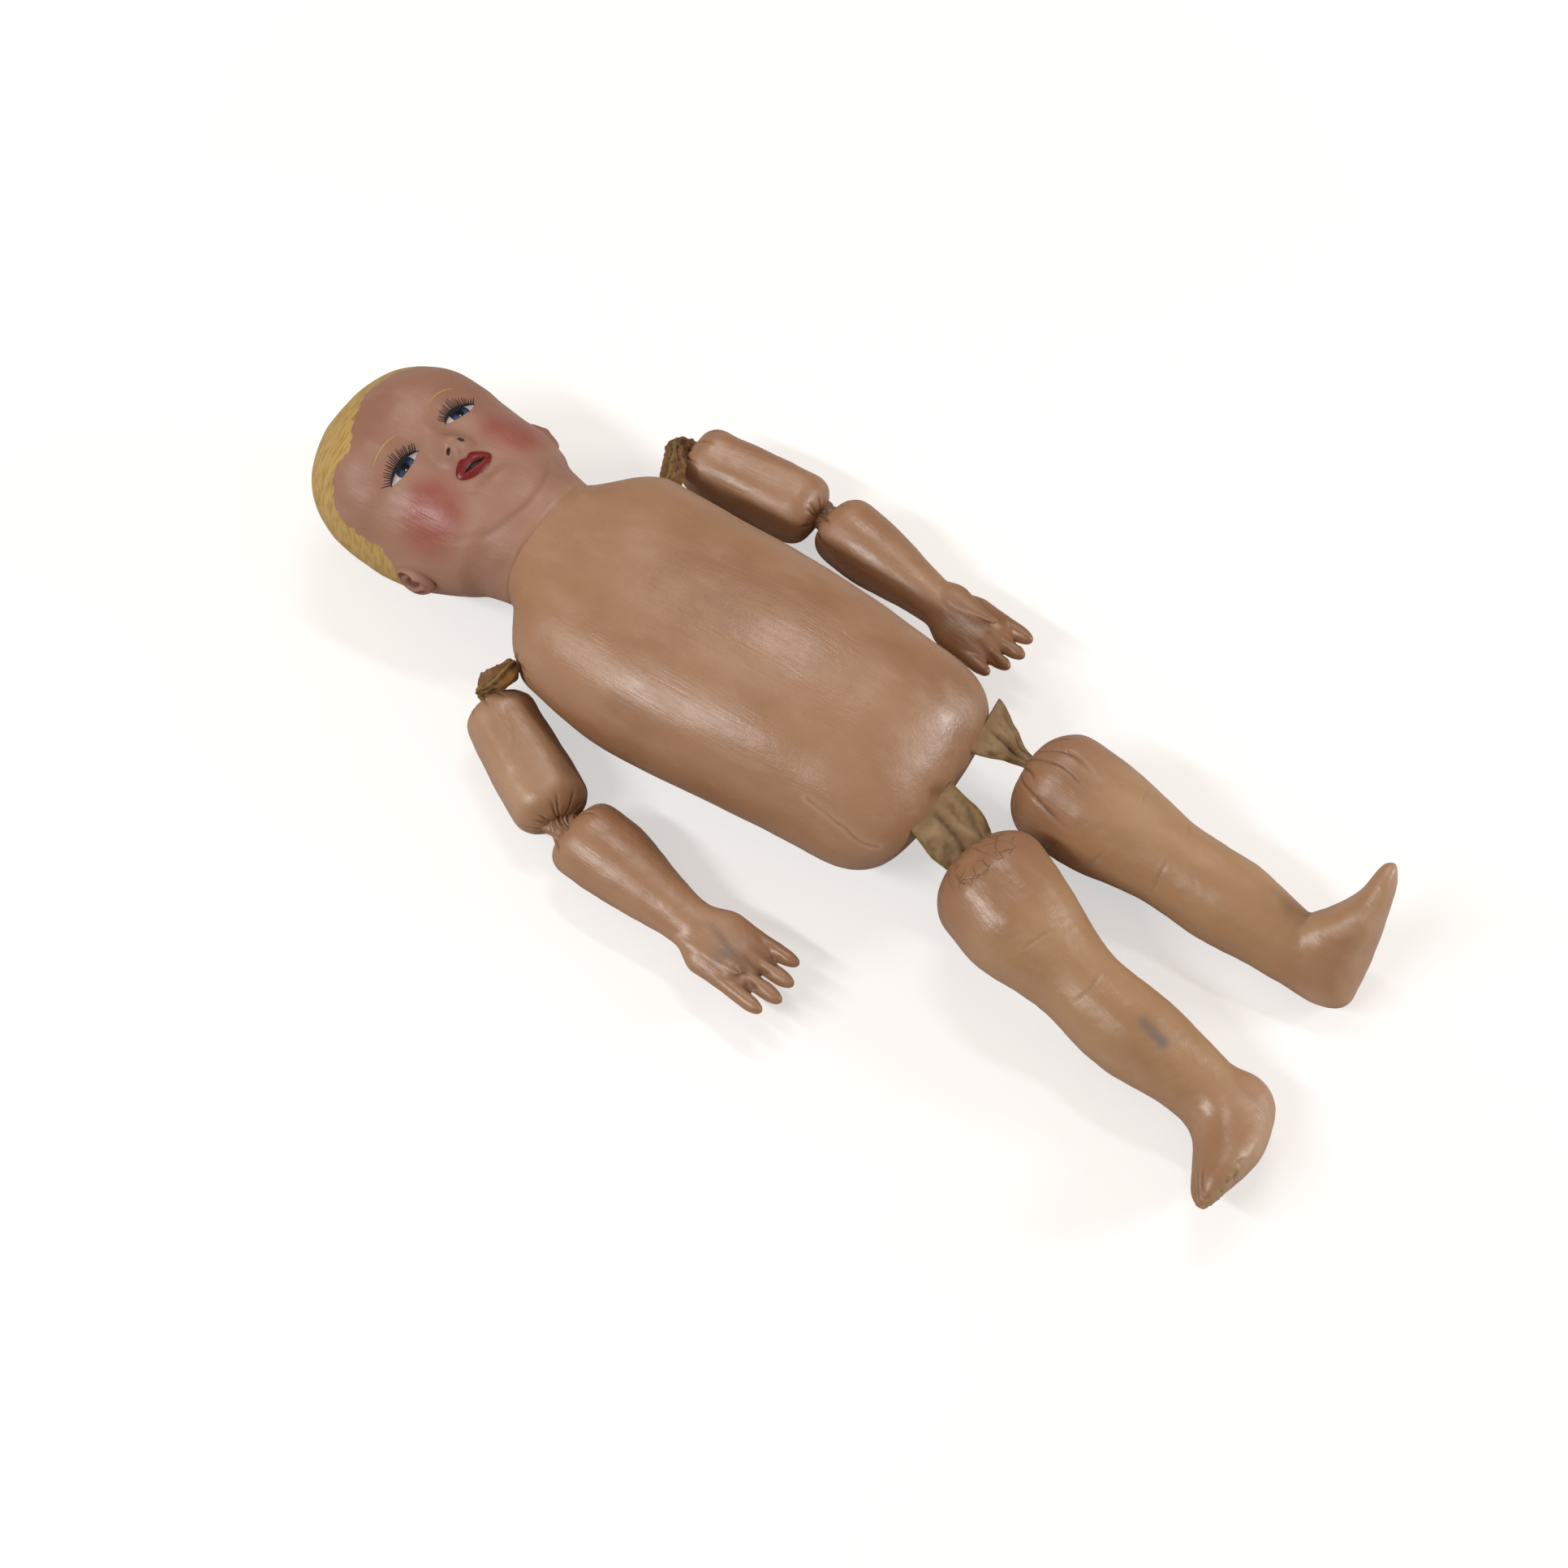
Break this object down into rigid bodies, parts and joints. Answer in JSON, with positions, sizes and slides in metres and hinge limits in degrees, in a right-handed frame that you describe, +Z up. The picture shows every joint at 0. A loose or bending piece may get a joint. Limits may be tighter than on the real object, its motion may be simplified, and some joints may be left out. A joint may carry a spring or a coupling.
{
  "type": "hospital training doll",
  "caption": "Baby-sized stuffed cloth training doll with an oil-painted skin and face; arms and legs hang on short cloth straps, so the limbs can be posed for nursing practice.",
  "frame": {"origin": "on the flat under the doll's back, where the torso meets the surface it lies on", "axes": "+Y to the crown, +X to the doll's left hand, +Z up from the surface to the face"},
  "size_m": [0.2922, 0.6189, 0.0987],
  "materials": {
    "painted_skin": "oil-painted cloth, semi-gloss",
    "painted_face": "oil-painted moulded cloth, semi-gloss",
    "strap_cloth": "matt cotton",
    "flap_cloth": "matt cotton",
    "cotton_stuffing": "matt loose cotton"
  },
  "bodies": {
    "torso": {"torso_cover": "painted_skin", "torso_stuffing": "cotton_stuffing", "head_cover": "painted_face", "head_stuffing": "cotton_stuffing", "ear_left": "painted_face", "ear_right": "painted_face"},
    "shoulder_strap_left": {"shoulder_strap_left": "strap_cloth"},
    "upper_arm_left": {"upper_arm_cover_left": "painted_skin", "upper_arm_stuffing_left": "cotton_stuffing", "elbow_strap_left": "strap_cloth"},
    "forearm_left": {"forearm_cover_left": "painted_skin", "forearm_stuffing_left": "cotton_stuffing", "thumb_left": "painted_skin"},
    "hip_flap_left": {"hip_flap_left": "flap_cloth"},
    "leg_left": {"leg_cover_left": "painted_skin", "leg_stuffing_left": "cotton_stuffing"},
    "shoulder_strap_right": {"shoulder_strap_right": "strap_cloth"},
    "upper_arm_right": {"upper_arm_cover_right": "painted_skin", "upper_arm_stuffing_right": "cotton_stuffing", "elbow_strap_right": "strap_cloth"},
    "forearm_right": {"forearm_cover_right": "painted_skin", "forearm_stuffing_right": "cotton_stuffing", "thumb_right": "painted_skin"},
    "hip_flap_right": {"hip_flap_right": "flap_cloth"},
    "leg_right": {"leg_cover_right": "painted_skin", "leg_stuffing_right": "cotton_stuffing"}
  },
  "joints": [
    {"name": "shoulder_swing_left", "type": "hinge", "parent": "torso", "child": "shoulder_strap_left", "pos_m": [0.07586, 0.09935, 0.04428], "axis": [-0.9976, -0.0698, 0], "range_deg": [0, 120]},
    {"name": "shoulder_spread_left", "type": "hinge", "parent": "shoulder_strap_left", "child": "upper_arm_left", "pos_m": [0.11386, 0.11535, 0.02328], "axis": [0, 0, 1], "range_deg": [-4, 60]},
    {"name": "elbow_bend_left", "type": "hinge", "parent": "upper_arm_left", "child": "forearm_left", "pos_m": [0.12026, 0.02383, 0.01794], "axis": [-0.9877, 0.1564, 0], "range_deg": [0, 40]},
    {"name": "hip_fold_left", "type": "hinge", "parent": "torso", "child": "hip_flap_left", "pos_m": [0.03516, -0.1297, 0.05011], "axis": [-0.9966, -0.0823, 0], "range_deg": [0, 90]},
    {"name": "hip_spread_left", "type": "hinge", "parent": "hip_flap_left", "child": "leg_left", "pos_m": [0.03667, -0.14809, 0.03813], "axis": [0.0448, -0.5428, 0.8387], "range_deg": [-4, 30]},
    {"name": "shoulder_swing_right", "type": "hinge", "parent": "torso", "child": "shoulder_strap_right", "pos_m": [-0.07169, 0.10025, 0.04436], "axis": [-0.8829, 0.4695, 0], "range_deg": [0, 120]},
    {"name": "shoulder_spread_right", "type": "hinge", "parent": "shoulder_strap_right", "child": "upper_arm_right", "pos_m": [-0.07769, 0.11125, 0.02036], "axis": [0, 0, -1], "range_deg": [-8, 45]},
    {"name": "elbow_bend_right", "type": "hinge", "parent": "upper_arm_right", "child": "forearm_right", "pos_m": [-0.12082, 0.03012, 0.01876], "axis": [-0.9945, 0.1045, 0], "range_deg": [0, 40]},
    {"name": "hip_fold_right", "type": "hinge", "parent": "torso", "child": "hip_flap_right", "pos_m": [-0.02114, -0.13166, 0.0502], "axis": [-0.9971, 0.0761, 0], "range_deg": [0, 90]},
    {"name": "hip_spread_right", "type": "hinge", "parent": "hip_flap_right", "child": "leg_right", "pos_m": [-0.02217, -0.14504, 0.04148], "axis": [0.0414, 0.5431, -0.8387], "range_deg": [-4, 30]}
  ]
}
